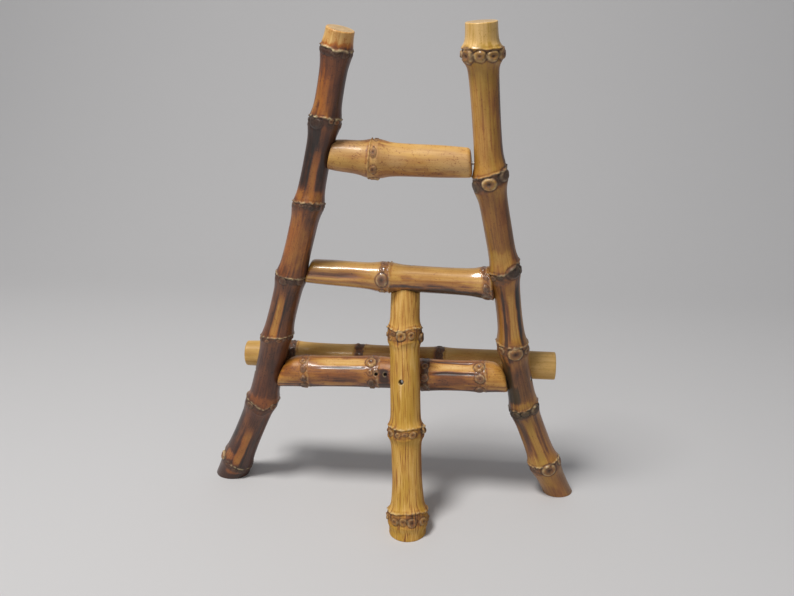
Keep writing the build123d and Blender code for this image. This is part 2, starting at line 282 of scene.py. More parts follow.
class Spine:
    """A cane's middle line, with the axes across it that turns are counted from."""

    def __init__(self, points):
        knots = np.array([place(*point[:3]) for point in points])
        self.knots = np.concatenate([[0], np.cumsum(np.linalg.norm(np.diff(knots, axis=0), axis=1))])
        self.length = self.knots[-1]
        self.at = np.linspace(0, self.length, int(self.length / SPINE_STEP) + 1)
        line = np.stack([np.interp(self.at, self.knots, knots[:, k]) for k in range(3)], axis=1)
        before = 2 * line[0] - line[BEND_REACH:0:-1]
        after = 2 * line[-1] - line[-2:-2 - BEND_REACH:-1]
        padded = np.concatenate([before, line, after])
        span = 2 * BEND_REACH + 1
        self.line = sum(padded[k:k + len(line)] for k in range(span)) / span
        self.along = unit(np.gradient(self.line, axis=0))
        self.front = unit(OUT - self.along * (self.along @ OUT)[:, None])
        self.side = np.cross(self.along, self.front)

    def read(self, values, at):
        """One of the line's lists of vectors at any places along it, and its end value past the ends."""
        return np.stack([np.interp(at, self.at, values[:, k]) for k in range(3)], axis=-1)

    def spot(self, at, turn, radius):
        """Points at a place, turn and radius. Places past the ends are in line with them."""
        inside = np.clip(at, 0, self.length)
        along = self.read(self.along, inside)
        out = self.read(self.front, inside) * np.cos(turn)[..., None]
        out = out + self.read(self.side, inside) * np.sin(turn)[..., None]
        return self.read(self.line, inside) + along * (at - inside)[..., None] + out * radius[..., None]

    def floor_place(self):
        """Where the line comes up through the floor near its start."""
        return float(np.interp(0, self.line[:FLOOR_STEPS, 2], self.at[:FLOOR_STEPS]))

    def locate(self, points):
        """Each point's place along the line, turn round it and distance from it."""
        nearest = np.argmin(np.linalg.norm(points[:, None, :] - self.line[None, ::2, :], axis=2), axis=1) * 2
        offset = points - self.line[nearest]
        shift = dots(offset, self.along[nearest])
        offset = offset - self.along[nearest] * shift[:, None]
        front = dots(offset, self.front[nearest])
        side = dots(offset, self.side[nearest])
        return self.at[nearest] + shift, np.arctan2(side, front), np.hypot(front, side)


def unit(vectors):
    return vectors / np.linalg.norm(vectors, axis=-1, keepdims=True)


def dots(first, second):
    return np.einsum("ij,ij->i", first, second)


def ease(values, low, high):
    """0 below low, 1 above high, and smooth between them."""
    share = np.clip((values - low) / (high - low), 0, 1)
    return share * share * (3 - 2 * share)


def bell(values, width):
    return np.exp(-(values / width) ** 2)


def noise(along, turn, lumps, seed):
    """Smooth noise from -1 to 1 that closes round the cane, with that many lumps round it."""
    values = np.random.default_rng(seed).uniform(-1, 1, (257, lumps))
    x, y = np.broadcast_arrays(turn / TURN * lumps, along)
    column, row = np.floor(x).astype(int), np.floor(y).astype(int)
    across, up = ease(x - column, 0, 1), ease(y - row, 0, 1)
    column, row = column % lumps, row % 256
    right = (column + 1) % lumps
    low = values[row, column] * (1 - across) + values[row, right] * across
    high = values[row + 1, column] * (1 - across) + values[row + 1, right] * across
    return low * (1 - up) + high * up


# ---- the skin of a cane

COLUMNS = 128
FINE_STEP, COARSE_STEP = 0.34, 0.85
END_REACH, HOLE_REACH = 4, 2.5  # how far from an end or a hole the rows are close together
FILLET_ROWS = 6
CAP_ROWS = 10
CUT_REACH = 14  # how far a slanting or coped cut is felt along the cane
FLARE_HEIGHT = 0.68  # the gentle swelling on both sides of a ring, as a share of its swell
BAND_HEIGHT, BAND_DIP = 0.14, 0.14  # the band of scars on top of that, and the dip before its lip
CREST_SWELL = 1.6  # the lip of a ring is no higher than for this swell
CREST_HEIGHT, CREST_FRAY, LIP_WIDTH = 0.24, 0.2, 0.5  # the lip on the band's edge, and how uneven it is
SAG_WIDTH = 0.45  # in radians, of the V in a lip
FLAT_HEIGHT, RIDGE_HEIGHT = 0.16, 0.05  # of the cane's broad flats and fine ridges
SCAR_BROW, SCAR_DIMPLE, SCAR_MOAT = 0.25, 0.75, 0.16  # a scar's edge, its middle and the dip round it
SCAR_GAP, SCAR_JITTER = 2.9, 0.3  # between the small scars of a band, and how far they stray as a share of it
SCAR_SHARE = 0.85  # how many of the free places in a band have a small scar
DARKEST_SCAR = 0.98
BIG_SCAR = 6  # scars wider than this are round and smooth
SEAT_BITE = 0.8  # how deep a pole sits in a rung's end
HEAD_CLEAR = 0.15  # a hole reaches at least this far past its spot, so that it opens onto any nail head there
TOP_RIGHT_GAP = 1  # the top rung stops short of its right pole
MARKS = ("toast", "scar", "rim", "pit", "cut")
# A cut through an end: its slope at each turn, and, where another cane is hollowed out of it, how far that
# pushes the edge back, that cane and the way out of it.
Cut = namedtuple("Cut", "end slope push other way", defaults=(0, None, None))


class Skin:
    """A cane's surface as rows along it and columns round it: a radius and marks at each crossing."""

    def __init__(self, name, first=0, last=None, holes=()):
        self.name, self.cane, self.looks = name, CANES[name], LOOKS[name]
        self.spine = Spine(self.cane.points)
        self.first = first
        self.last = self.spine.length if last is None else last
        self.lips = [
            place_at + self.looks.heading * ring.lip
            for place_at, ring in zip(self.spine.knots[1:-1], self.looks.rings)
        ]
        self.rng = np.random.default_rng(self.looks.seed)
        self.lay_rows([float(self.spine.locate(hole.spot[None])[0][0]) for hole in holes])
        self.at = self.rows[:, None]
        self.turn = np.linspace(0, TURN, COLUMNS, endpoint=False)[None, :]
        self.base = self.base_radius(self.rows)[:, None]
        shape = (len(self.rows), COLUMNS)
        self.radius = np.broadcast_to(self.base, shape).copy()
        self.marks = {mark: np.zeros(shape) for mark in MARKS}
        self.marks["toast"] += self.looks.toast
        self.cuts = []
        self.weather()
        for number, patch in enumerate(self.looks.patches):
            self.add_patch(Patch(*patch), number)
        for groove in self.looks.grooves:
            self.add_groove(Groove(*groove))
        for number, ring in enumerate(self.looks.rings):
            self.add_ring(ring, number)
        for wear in self.looks.wears:
            self.add_wear(wear)
        for hole in holes:
            self.add_hole(hole)

    def lay_rows(self, holes):
        """Rows along the cane, close together where it has detail, and round the edges of its ends."""
        start_fillet, end_fillet = self.looks.fillets
        spans = [(self.first, self.first + END_REACH), (self.last - END_REACH, self.last)]
        spans += [(hole - HOLE_REACH, hole + HOLE_REACH) for hole in holes]
        for lip, ring in zip(self.lips, self.looks.rings):
            ends = -(ring.length + ring.tilt + ring.sag + 2), ring.tilt + 3
            spans.append(sorted(lip + self.looks.heading * end for end in ends))
        place_at, rows = self.first + start_fillet, []
        while place_at < self.last - end_fillet - FINE_STEP / 2:
            rows.append(place_at)
            fine = any(low < place_at < high for low, high in spans)
            place_at += FINE_STEP if fine else COARSE_STEP
        swing = np.linspace(0, math.pi / 2, FILLET_ROWS, endpoint=False)
        self.rows = np.concatenate([
            self.first + start_fillet * (1 - np.cos(swing)),
            rows,
            [self.last - end_fillet],
            (self.last - end_fillet * (1 - np.cos(swing)))[::-1],
        ])
        self.inset = np.concatenate([
            start_fillet * (1 - np.sin(swing)),
            np.zeros(len(rows) + 1),
            (end_fillet * (1 - np.sin(swing)))[::-1],
        ])[:, None]

    def base_radius(self, at):
        """The radius without its rings: from waist to waist, and out to the cut ends."""
        knots, waists = self.spine.knots, self.cane.waists
        spots, radii = [knots[0]], [self.cane.points[0][3]]
        for i, waist in enumerate(waists):
            spots.append((knots[i] + knots[i + 1]) / 2)
            radii.append(waist)
            if i < len(waists) - 1:
                spots.append(knots[i + 1])
                radii.append((waist + waists[i + 1]) / 2)
        spots.append(knots[-1])
        radii.append(self.cane.points[-1][3])
        index = np.clip(np.searchsorted(spots, at) - 1, 0, len(spots) - 2)
        spots, radii = np.array(spots), np.array(radii)
        share = ease((at - spots[index]) / (spots[index + 1] - spots[index]), 0, 1)
        return radii[index] * (1 - share) + radii[index + 1] * share

    def from_spot(self, at, turn):
        """How far each crossing is from a spot, along the cane and round it."""
        return self.at - at, self.from_turn(turn) * self.base

    def uneven(self, along, lumps, seed):
        return noise(along, self.turn, lumps, seed)

    def from_turn(self, turn):
        return (self.turn - math.radians(turn) + math.pi) % TURN - math.pi

    def mix(self, mark, value, weight):
        self.marks[mark] = self.marks[mark] * (1 - weight) + value * weight

    def weather(self):
        """The uneven growth of the cane: broad flats, and fine ridges along it."""
        seed = self.looks.seed
        self.radius += FLAT_HEIGHT * self.uneven(self.at / 30, 5, seed + 1)
        self.radius += RIDGE_HEIGHT * self.uneven(self.at / 25, 24, seed + 2)
        self.marks["toast"] += 0.06 * self.uneven(self.at / 22, 7, seed + 3)
        self.marks["toast"] += 0.05 * self.uneven(self.at / 14, 22, seed + 4)

    def add_ring(self, ring, number):
        lip = self.lips[number]
        seed = self.looks.seed * 100 + number
        swell = self.cane.points[number + 1][3] - float(self.base_radius(np.array([lip]))[0])
        gap = self.looks.heading * (self.at - lip)
        gap = gap - ring.tilt * np.cos(self.from_turn(ring.tilt_turn))
        gap = gap + ring.sag * bell(self.from_turn(ring.sag_turn), SAG_WIDTH)
        gap = gap + 0.25 * self.uneven(0, 26, seed) + 0.3 * self.uneven(0, 9, seed + 50)
        frayed = self.uneven(self.at * 1.5, 62, seed + 3)
        lip_gap = gap + 0.3 * frayed + 0.2 * self.uneven(0, 58, seed + 4)
        outside = np.clip(gap, 0, None) + np.clip(-ring.length - gap, 0, None)
        flare = FLARE_HEIGHT / (1 + (outside / ring.reach) ** 2)
        window = ease(gap, -ring.length - 0.8, -ring.length + 0.8) * (1 - ease(gap, -0.5, 0.4))
        band = BAND_HEIGHT * window - BAND_DIP * bell(gap + 1.2, LIP_WIDTH)
        on_lip = bell(lip_gap + 0.2, LIP_WIDTH)
        crest = (CREST_HEIGHT + CREST_FRAY * frayed) * on_lip
        self.radius += swell * (flare + band) + min(swell, CREST_SWELL) * crest
        self.radius += ring.knobs * window * self.uneven(self.at / 2.4, 20, seed + 11)

        ragged = self.uneven(self.at * 1.3, 34, seed + 9)
        fade = 1.2 + ring.length * 0.25
        dark = ease(gap, -ring.length - 1.2, -ring.length + fade) * (1 - ease(lip_gap, -0.4, 0.2))
        self.mix("toast", ring.band + 0.12 * ragged, dark)
        self.mix("scar", 0.5, dark * (0.6 + 0.4 * ragged))
        edge = on_lip * (0.5 + 0.9 * self.uneven(self.at * 1.2, 50, seed + 7))
        self.mix("rim", 1, ring.rim * np.clip(edge, 0, 1))
        shade = bell(gap - 0.8, LIP_WIDTH) * (0.4 + 0.6 * self.uneven(0, 18, seed + 8))
        self.mix("toast", 0.75, 0.6 * np.clip(shade, 0, 1))
        for scar in self.all_scars(ring):
            pull = ring.tilt * math.cos(math.radians(scar.turn - ring.tilt_turn))
            self.add_scar(scar, lip + self.looks.heading * (pull - scar.before))

    def all_scars(self, ring):
        """The ring's own scars, and small ones in the gaps between them."""
        scars = [Scar(*row) for row in ring.scars]
        placed = list(scars)
        count = int(TURN * self.base.mean() / SCAR_GAP)
        arc = math.radians(1) * self.base.mean()  # millimetres to a degree
        for k in range(count):
            turn = (k + self.rng.uniform(-SCAR_JITTER, SCAR_JITTER)) * 360 / count
            before = self.rng.uniform(1.5, max(2.4, ring.length - 1.6))
            width = self.rng.uniform(1.6, 2.4 + ring.length * 0.14)
            clear = all(
                abs((turn - own.turn + 180) % 360 - 180) * arc > (own.width + width) / 2
                for own in placed
            )
            if clear and self.rng.uniform() < SCAR_SHARE:
                toast = min(DARKEST_SCAR, ring.band + self.rng.uniform(-0.1, 0.2))
                scars.append(Scar(turn, before, width, 0.25 + ring.knobs * 0.5, toast))
        return scars

    def add_scar(self, scar, at):
        gap, round_it = self.from_spot(at, scar.turn)
        seed = int(scar.turn * 7) % 89
        big = scar.width > BIG_SCAR
        uneven_by = 0 if big else 0.32 * min(1, 3.4 / scar.width) ** 2
        wobble = 1 + uneven_by * self.uneven(self.at / 1.9, 24, seed)
        stretch = 1 if big else 0.75 + 0.45 * (seed % 7) / 6
        far = np.hypot(gap / stretch, round_it) / (scar.width / 2) / wobble
        core = min(1, scar.width / 5)
        dome = np.clip(1 - far ** 3, 0, 1)
        pale = min(1, 2.2 * (1 - scar.toast))
        brow, dimple, disc = bell(far - 0.78, 0.2), bell(far, 0.32), 1 - ease(far, 0.7, 1.1)
        self.radius += scar.bump * (dome + SCAR_BROW * brow - SCAR_DIMPLE * pale * dimple)
        self.radius -= SCAR_MOAT * core * bell(far - 1.12, 0.16)
        self.mix("toast", scar.toast, disc)
        self.mix("scar", 1 - 0.8 * scar.toast ** 4, disc)
        self.mix("toast", 0.88, 0.45 * core * bell(far - 1.08, 0.12))
        uneven = 0.45 + 0.55 * self.uneven(self.at / 1.1, 46, seed + 5)
        self.mix("rim", 0.9 * pale, np.clip(core * bell(far - 0.84, 0.15) * uneven, 0, 1))
        heart = 0.34 if big else 0.2
        self.mix("toast", 0.8, 0.8 * pale * bell(far, 1.5 * heart))
        self.mix("pit", 1, 0.6 * pale * bell(far, heart))
        self.mix("pit", 1, np.clip(core * bell(far - 1.13, 0.1) * (1 - uneven), 0, 0.5))

    def add_groove(self, groove):
        gap, round_it = self.from_spot(groove.start, groove.turn)
        length = abs(groove.end - groove.start)
        gap = gap * (1 if groove.end > groove.start else -1)
        window = ease(gap, -2, 3) * (1 - ease(gap, length * 0.6, length))
        wander = 0.6 * noise(self.at / 12, np.zeros((1, 1)), 3, int(groove.start))
        across = (round_it - wander) / (groove.width / 2)
        self.radius -= groove.depth * window * np.exp(-np.abs(across) ** 3)
        flank = window * bell(np.abs(across) - 1.2, 0.3)
        self.marks["toast"] += 0.2 * flank
        ragged = 0.2 * self.uneven(self.at / 5, 50, int(groove.end))
        # The groove's own toast. Where it is darker than the cane it paints the shade down in the crease; the
        # pale grooves along the lower rung's top are partly paler cane and partly a painted highlight.
        self.mix("toast", groove.toast, window * np.exp(-np.clip(np.abs(across) + ragged, 0, None) ** 5))

    def add_wear(self, wear):
        gap = self.last - self.rows if wear.end else self.rows - self.first
        share = np.clip(1 - gap / wear.length, 0, 1)[:, None]
        side = ease(np.cos(self.from_turn(wear.turn)), -0.1, 0.9)
        self.radius -= wear.depth * side * (1 - np.sqrt(1 - share ** 2))

    def add_patch(self, patch, number):
        gap, round_it = self.from_spot(patch.at, patch.turn)
        seed = self.looks.seed + 7 * number
        ragged = 0.2 * self.uneven(self.at / 7, 9, seed) + 0.12 * self.uneven(self.at / 2.5, 24, seed + 1)
        ragged = ragged + 0.3 * self.uneven(self.at / 9, 52, seed + 2)
        far_along = np.abs(gap) / (patch.length / 2)
        far_round = np.abs(round_it) / self.base / math.radians(patch.width / 2)
        if patch.width >= 360:
            far_round = far_round * 0
        far = (far_along ** 3 + far_round ** 3) ** (1 / 3) + ragged
        self.mix("toast", patch.toast, 1 - ease(far, 0.5, 1.3))

    def add_hole(self, hole):
        at, turn, spot_radius = self.spine.locate(hole.spot[None])
        gap, round_it = self.from_spot(at[0], math.degrees(turn[0]))
        far = np.hypot(gap, round_it)
        depth = max(hole.depth, self.radius.flat[np.argmin(far)] - spot_radius[0] + HEAD_CLEAR)
        self.radius -= depth * (1 - ease(far, hole.radius - 0.2, hole.radius + 0.2))
        # the hole is coloured near-black through the pit mark: painted shade inside it
        self.mix("pit", 1, 1 - ease(far, hole.radius, hole.radius + 0.35))
        self.mix("rim", 0.6, bell(far - hole.radius - 0.4, 0.28) * (1 - ease(gap, -hole.radius, 0.5)))

    # ---- where it meets the floor and other canes

    def surface(self, spots):
        """For each spot: its offset from the middle line, the line's direction and the skin's radius."""
        at, turn, _ = self.spine.locate(spots)
        row = np.clip(np.searchsorted(self.rows, at), 0, len(self.rows) - 1)
        column = np.round(turn / TURN * COLUMNS).astype(int) % COLUMNS
        beyond = (at < self.first) | (at > self.last)
        middle, along = self.spine.read(self.spine.line, at), self.spine.read(self.spine.along, at)
        return spots - middle, along, np.where(beyond, 0, self.radius[row, column])

    def push_out(self, spots, way):
        """How far each spot inside this cane has to go that way to come out of it."""
        push = np.zeros(len(spots))
        for _ in range(3):
            offset, along, radius = self.surface(spots + way * push[:, None])
            offset = offset - way * push[:, None]
            offset = offset - along * dots(offset, along)[:, None]
            run = way - along * (along @ way)[:, None]
            a, b = dots(run, run), dots(offset, run)
            c = dots(offset, offset) - radius ** 2
            push = np.where(c < 0, (-b + np.sqrt(np.clip(b * b - a * c, 0, None))) / a, 0)
        return push

    def notch(self, other):
        """Presses the skin in where it would lie inside another cane."""
        middles = self.spine.read(self.spine.line, self.rows)
        away = np.linalg.norm(middles[:, None] - other.spine.line[None, ::4], axis=2).min(axis=1)
        rows = np.nonzero(away < self.radius.max() + other.radius.max())[0]
        turns = np.broadcast_to(self.turn, (len(rows), COLUMNS))
        at = np.broadcast_to(self.rows[rows][:, None], turns.shape)
        for _ in range(5):
            spots = self.spine.spot(at, turns, self.radius[rows]).reshape(-1, 3)
            offset, along, radius = other.surface(spots)
            offset = offset - along * dots(offset, along)[:, None]
            deep = radius - np.linalg.norm(offset, axis=1)
            self.radius[rows] -= np.clip(deep, 0, None).reshape(turns.shape)

    def slope(self, end, normal):
        """How far along the cane a flat cut lies at each turn, for each millimetre from the middle line."""
        spine = self.spine
        along, front, side = (spine.read(axis, end) for axis in (spine.along, spine.front, spine.side))
        toward = np.cos(self.turn) * (front @ normal) + np.sin(self.turn) * (side @ normal)
        return -toward / (along @ normal)

    def cut_flat(self, end, normal):
        self.cuts.append(Cut(end, self.slope(end, normal)))

    def cope(self, end, other, way):
        """Cuts an end flat, and then hollows it where the other cane lies. The way is into this cane."""
        row = 0 if end == self.first else -1
        slope, rim = self.slope(end, way), self.radius[row][None]
        spots = self.spine.spot(end + slope * rim, self.turn, rim)[0]
        along = self.spine.read(self.spine.along, end)
        push = other.push_out(spots, way)[None, :] / (along @ way)
        self.cuts.append(Cut(end, slope, push, other, way))

    def points(self):
        """The rows' points, and those of the two ends' faces from their edges to their middles."""
        radius = np.clip(self.radius - self.inset, 1, None)
        at = self.at + 0 * radius
        for cut in self.cuts:
            weight = 1 - ease(np.abs(self.at - cut.end), 0, CUT_REACH)
            at = at + weight * (cut.slope * radius + cut.push)
        body = self.spine.spot(at, np.broadcast_to(self.turn, radius.shape), radius)
        caps = []
        for row, end in ((0, self.first), (-1, self.last)):
            shares = np.linspace(1, 0, CAP_ROWS + 2)[1:, None, None]
            middle = body[row].mean(axis=0)
            cap = middle + (body[row] - middle) * shares
            for cut in self.cuts:
                if cut.other and cut.end == end:
                    push = cut.other.push_out(cap.reshape(-1, 3), cut.way).reshape(cap.shape[:2])
                    cap = cap + cut.way * push[..., None]
            caps.append(cap)
        return [np.stack([part[..., 0], part[..., 1], np.clip(part[..., 2], 0, None)], axis=-1)
                for part in (body, *caps)]


def seat(spine, end, pole, bite=SEAT_BITE):
    """Where a rung's line meets its flat seat on a pole, and the way from the pole into the rung."""
    at, _, _ = pole.spine.locate(spine.line[end][None])
    middle = pole.spine.read(pole.spine.line, at)[0]
    upward = pole.spine.read(pole.spine.along, at)[0]
    inward = spine.line[len(spine.line) // 2] - middle
    inward = unit(inward - upward * (inward @ upward))
    radius = float(np.interp(at[0], pole.rows, pole.radius.mean(axis=1)))
    gaps = (spine.line - middle) @ inward - (radius - bite)
    if end == 0:
        return float(np.interp(0, gaps, spine.at)), inward
    return float(np.interp(0, gaps[::-1], spine.at[::-1])), inward


# ---- from a skin to a mesh

def grid_faces(rows, flip=False):
    """The quads between neighbouring rows of point numbers."""
    quads = []
    for low, high in zip(rows, rows[1:]):
        ring = np.stack([low, np.roll(low, -1), np.roll(high, -1), high], axis=1)
        quads.append(ring[:, ::-1] if flip else ring)
    return np.concatenate(quads).tolist()


def make_mesh(skin):
    """A closed mesh of the skin, with its sawn ends, that carries the skin's marks."""
    body, *caps = skin.points()
    size = body.shape[0] * COLUMNS
    shares = np.linspace(1, 0, CAP_ROWS + 2)[1:-1, None, None]
    fibre = np.stack([
        skin.base * np.cos(skin.turn),
        skin.base * np.sin(skin.turn),
        skin.rows[:, None] + 0 * skin.base * skin.turn,
    ], axis=-1)
    spots, fibres = [body.reshape(-1, 3)], [fibre.reshape(-1, 3)]
    marks = {mark: [values.ravel()] for mark, values in skin.marks.items()}
    numbers = np.arange(size + 2 * CAP_ROWS * COLUMNS)
    rows = numbers[:size].reshape(-1, COLUMNS)
    faces = grid_faces(rows)
    fills = [{"cut": 1, "toast": skin.marks["toast"][edge].mean()} for edge in (0, -1)]
    for order, cap in enumerate(caps):
        edge = -order
        spots.append(cap[:-1].reshape(-1, 3))
        fibres.append((fibre[edge] * [1, 1, 0] * shares + fibre[edge] * [0, 0, 1]).reshape(-1, 3))
        for mark, parts in marks.items():
            parts.append(np.full(CAP_ROWS * COLUMNS, fills[order].get(mark, 0), float))
        first = size + order * CAP_ROWS * COLUMNS
        cap_rows = numbers[first:first + CAP_ROWS * COLUMNS].reshape(-1, COLUMNS)
        faces += grid_faces([rows[edge], *cap_rows], flip=edge == 0)
        middle = len(numbers) + order
        for low, high in zip(cap_rows[-1], np.roll(cap_rows[-1], -1)):
            faces.append((high, low, middle) if edge == 0 else (low, high, middle))
    for order, cap in enumerate(caps):
        spots.append(cap[-1, :1])
        fibres.append([[0, 0, skin.rows[-order]]])
        for mark, parts in marks.items():
            parts.append(np.array([fills[order].get(mark, 0)]))

    mesh = bpy.data.meshes.new(skin.name + "_cane")
    mesh.from_pydata((np.concatenate(spots) * MM).tolist(), [], faces)
    mesh.shade_smooth()
    for mark, parts in marks.items():
        values = np.concatenate(parts).astype(np.float32)
        mesh.attributes.new(mark, "FLOAT", "POINT").data.foreach_set("value", values)
    values = np.concatenate(fibres).astype(np.float32).ravel()
    mesh.attributes.new("fibre", "FLOAT_VECTOR", "POINT").data.foreach_set("vector", values)
    mesh.update()
    piece = new_object(skin.name + "_cane", mesh)
    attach(piece, "root")
    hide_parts(skin.name)
    return piece


# ---- floor, light and camera

CAMERA_TURN, CAMERA_TILT = math.radians(6.5), math.radians(17)
CAMERA_FAR = 0.4444
CAMERA_LENS = 35.2
LOOK_ASIDE, LOOK_BEHIND, LOOK_HEIGHT = 0.0068, 0.0047, 0.1314
LIT_HEIGHT = 0.12  # the lights face the easel's middle at this height


def new_object(name, data):
    thing = bpy.data.objects.new(name, data)
    bpy.context.scene.collection.objects.link(thing)
    return thing


def set_camera():
    middle = (CAD_LOW + CAD_HIGH) / 2
    target = Vector((middle.x + LOOK_ASIDE, middle.y + LOOK_BEHIND, LOOK_HEIGHT))
    back = Vector((
        math.sin(CAMERA_TURN) * math.cos(CAMERA_TILT),
        -math.cos(CAMERA_TURN) * math.cos(CAMERA_TILT),
        math.sin(CAMERA_TILT),
    ))
    camera = new_object("camera", bpy.data.cameras.new("camera"))
    camera.data.lens = CAMERA_LENS
    camera.location = target + back * CAMERA_FAR
    camera.rotation_euler = (-back).to_track_quat("-Z", "Y").to_euler()
    bpy.context.scene.camera = camera


def set_light(name, place_at, size, power, colour):
    light = bpy.data.lights.new(name, "AREA")
    light.shape, light.size = "DISK", size
    light.energy, light.color = power, colour
    lamp = new_object(name, light)
    lamp.location = place_at
    lamp.visible_camera = False
    way = Vector((0, 0, LIT_HEIGHT)) - Vector(place_at)
    lamp.rotation_euler = way.to_track_quat("-Z", "Y").to_euler()


def set_stage():
    """A pale floor that curves up behind the easel."""
    half, near, far, rise, top, steps = 1.6, -1.4, 0.45, 0.5, 1.8, 16
    profile = [(near, 0), (far, 0)]
    for k in range(1, steps + 1):
        swing = math.pi / 2 * k / steps
        profile.append((far + rise * math.sin(swing), rise * (1 - math.cos(swing))))
    profile.append((far + rise, top))
    spots = [(x, y, z) for y, z in profile for x in (-half, half)]
    faces = [(2 * k, 2 * k + 1, 2 * k + 3, 2 * k + 2) for k in range(len(profile) - 1)]
    mesh = bpy.data.meshes.new("floor")
    mesh.from_pydata(spots, [], faces)
    mesh.shade_smooth()
    floor = new_object("floor", mesh)
    material = bpy.data.materials.new("pale_floor")
    material.use_nodes = True
    surface = material.node_tree.nodes["Principled BSDF"]
    surface.inputs["Base Color"].default_value = (0.6, 0.595, 0.6, 1)
    surface.inputs["Roughness"].default_value = 0.9
    mesh.materials.append(material)


def set_world():
    world = bpy.data.worlds.new("studio")
    world.use_nodes = True
    sky = world.node_tree.nodes["Background"]
    sky.inputs["Color"].default_value = (0.92, 0.95, 1, 1)
    sky.inputs["Strength"].default_value = 0.24
    bpy.context.scene.world = world
    bpy.context.scene.view_settings.view_transform = "Standard"


set_camera()
set_stage()
set_world()
set_light("key", (-0.3, -0.42, 1.25), size=0.34, power=14, colour=(1, 0.98, 0.95))
set_light("fill", (-0.35, -1.3, 0.55), size=0.8, power=1.6, colour=(1, 0.98, 0.97))

# ---- the materials

# A finish of toasted bamboo: how rough it is, how thick its lacquer is, how strong its fibres, blotches,
# specks, dark streaks and veins are in its colour, and a tint with how much of it there is.
Finish = namedtuple("Finish", "rough coat fibres blotches specks streaks veins tint tinted")
FINISHES = {
    "cane_toasted": Finish(0.32, 0.28, 0.18, 0.36, 0.2, 0.05, 0.1, (0.4, 0.07, 0.006), 0.65),
    "cane_olive": Finish(0.34, 0.3, 0.2, 0.26, 0.14, 0.08, 0.06, (0.34, 0.22, 0.02), 0.6),
    "cane_straw": Finish(0.42, 0.15, 0.12, 0.28, 0.2, 0.06, 0.26, (0.5, 0.33, 0.2), 0.42),
    "cane_golden": Finish(0.36, 1, 0.18, 0.24, 0.2, 0.07, 0.1, (0.42, 0.16, 0.015), 0.3),
    "cane_amber": Finish(0.32, 0.36, 0.22, 0.3, 0.28, 0.12, 0.1, (0.4, 0.11, 0.008), 0.45),
    "cane_tan": Finish(0.42, 0.2, 0.12, 0.24, 0.1, 0.05, 0.08, (0.3, 0.19, 0.05), 0.35),
    "cane_ochre": Finish(0.62, 0.0, 0.44, 0.2, 0.14, 0.3, 0, (0.46, 0.26, 0.012), 0.6),
}
TOASTS = (
    (0, (0.78, 0.5, 0.19)), (0.2, (0.64, 0.36, 0.085)), (0.4, (0.44, 0.19, 0.036)),
    (0.6, (0.24, 0.082, 0.024)), (0.8, (0.085, 0.033, 0.018)), (1, (0.022, 0.015, 0.012)),
)
# the last of these colours the pit mark: the dark cores and outlines of the scars, and painted shade inside
# the nail holes
CREAM, SCAR_GREY, PITH_AND_HOLE_SHADE = (0.76, 0.6, 0.32), (0.2, 0.12, 0.07), (0.014, 0.01, 0.008)
CUT_LIGHT, CUT_DARK = (0.6, 0.4, 0.19), (0.2, 0.11, 0.05)


class Nodes:
    """A material's node tree, with the few kinds of node that the easel's materials are made of."""

    def __init__(self, name):
        self.material = bpy.data.materials.new(name)
        self.material.use_nodes = True
        self.tree = self.material.node_tree
        self.surface = self.tree.nodes["Principled BSDF"]

    def add(self, kind, settings=None, **inputs):
        """A node. Each input is named, or i and its number, and is a socket to link from or a value."""
        node = self.tree.nodes.new("ShaderNode" + kind)
        for key, value in (settings or {}).items():
            setattr(node, key, value)
        for key, value in inputs.items():
            socket = node.inputs[int(key[1:])] if key[1:].isdigit() else node.inputs[key.replace("_", " ")]
            self.give(socket, value)
        return node

    def give(self, socket, value):
        if isinstance(value, bpy.types.NodeSocket):
            self.tree.links.new(value, socket)
        else:
            socket.default_value = value

    def math(self, operation, *values):
        inputs = {f"i{k}": value for k, value in enumerate(values)}
        return self.add("Math", {"operation": operation}, **inputs).outputs[0]

    def times(self, first, second):
        return self.math("MULTIPLY", first, second)

    def extra(self, value, share, base):
        """The base with that share of the value added."""
        return self.math("MULTIPLY_ADD", value, share, base)

    def mark(self, name):
        return self.add("Attribute", {"attribute_name": name}).outputs["Fac"]

    def grain(self, stretch, scale, detail=2, vector=None):
        """Noise of about 0 to 1. The scale is lumps to a millimetre, and stretch makes them long."""
        vector = vector or self.fibre
        spread = self.add("Mapping", Vector=vector, Scale=(1, 1, 1 / stretch))
        noises = self.add("TexNoise", Vector=spread.outputs[0], Scale=scale, Detail=float(detail))
        return noises.outputs["Fac"]

    def span(self, value, low, high, to_low=0.0, to_high=1.0):
        settings = {"interpolation_type": "SMOOTHSTEP"}
        inputs = {"Value": value, "From_Min": low, "From_Max": high, "To_Min": to_low, "To_Max": to_high}
        return self.add("MapRange", settings, **inputs).outputs[0]

    def blend(self, share, under, over):
        node = self.add("Mix", {"data_type": "RGBA"}, i0=share)
        for slot, colour in ((6, under), (7, over)):
            self.give(node.inputs[slot], (*colour, 1) if isinstance(colour, tuple) else colour)
        return node.outputs[2]

    def ramp(self, value, stops):
        node = self.add("ValToRGB", Fac=value)
        elements = node.color_ramp.elements
        for k, (position, colour) in enumerate(stops):
            stop = elements[k] if k < 2 else elements.new(1)
            stop.position, stop.color = position, (*colour, 1)
        return node.outputs["Color"]


